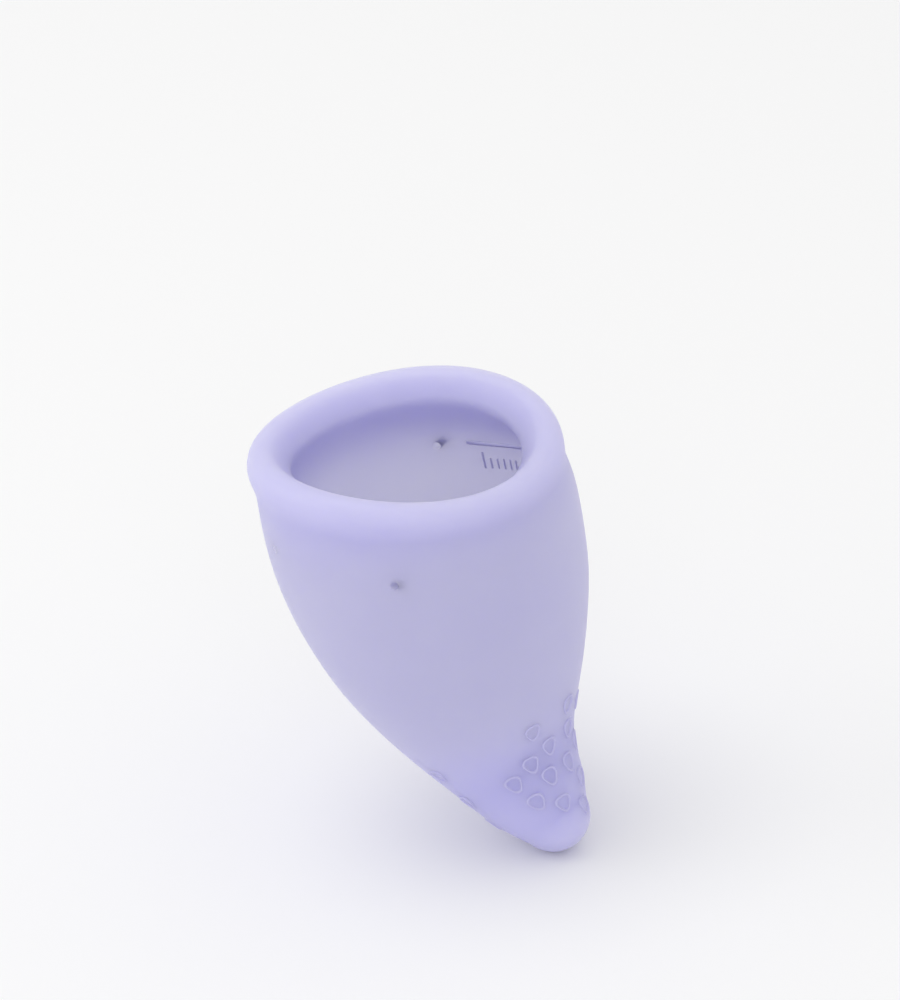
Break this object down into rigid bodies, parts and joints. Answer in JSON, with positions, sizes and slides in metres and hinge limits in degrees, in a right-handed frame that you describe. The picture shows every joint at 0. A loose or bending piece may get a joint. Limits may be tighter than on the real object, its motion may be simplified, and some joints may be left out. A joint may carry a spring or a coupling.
{
  "type": "menstrual cup",
  "caption": "Soft silicone cup with a thick rolled rim, air holes, an inner fill line and a solid bent tip with raised grip pads.",
  "frame": {"origin": "centre of the rim, on the mid plane of its bead", "axes": "+Z straight out of the mouth along the rim's axis, +X towards the side the tip bends to, +Y to the side of the fill line"},
  "size_m": [0.0448, 0.04, 0.0553],
  "materials": {
    "silicone": "satin, slightly translucent lavender medical silicone"
  },
  "bodies": {
    "root": {"rim": "silicone", "bowl": "silicone", "grip_tip": "silicone", "spine_pad_01": "silicone", "spine_pad_02": "silicone", "spine_pad_03": "silicone", "spine_pad_04": "silicone", "spine_pad_05": "silicone", "spine_pad_06": "silicone", "spine_pad_07": "silicone", "spine_pad_08": "silicone", "spine_pad_09": "silicone", "spine_pad_10": "silicone", "spine_pad_11": "silicone", "spine_pad_12": "silicone", "spine_pad_13": "silicone", "spine_pad_14": "silicone", "spine_pad_15": "silicone", "belly_pad_01": "silicone", "belly_pad_02": "silicone", "belly_pad_03": "silicone", "belly_pad_04": "silicone", "belly_pad_05": "silicone", "belly_pad_06": "silicone", "belly_pad_07": "silicone", "belly_pad_08": "silicone", "belly_pad_09": "silicone", "belly_pad_10": "silicone", "belly_pad_11": "silicone", "belly_pad_12": "silicone", "fill_line": "silicone", "tick_1": "silicone", "tick_2": "silicone", "tick_3": "silicone", "tick_4": "silicone", "tick_5": "silicone", "tick_6": "silicone"}
  },
  "joints": []
}
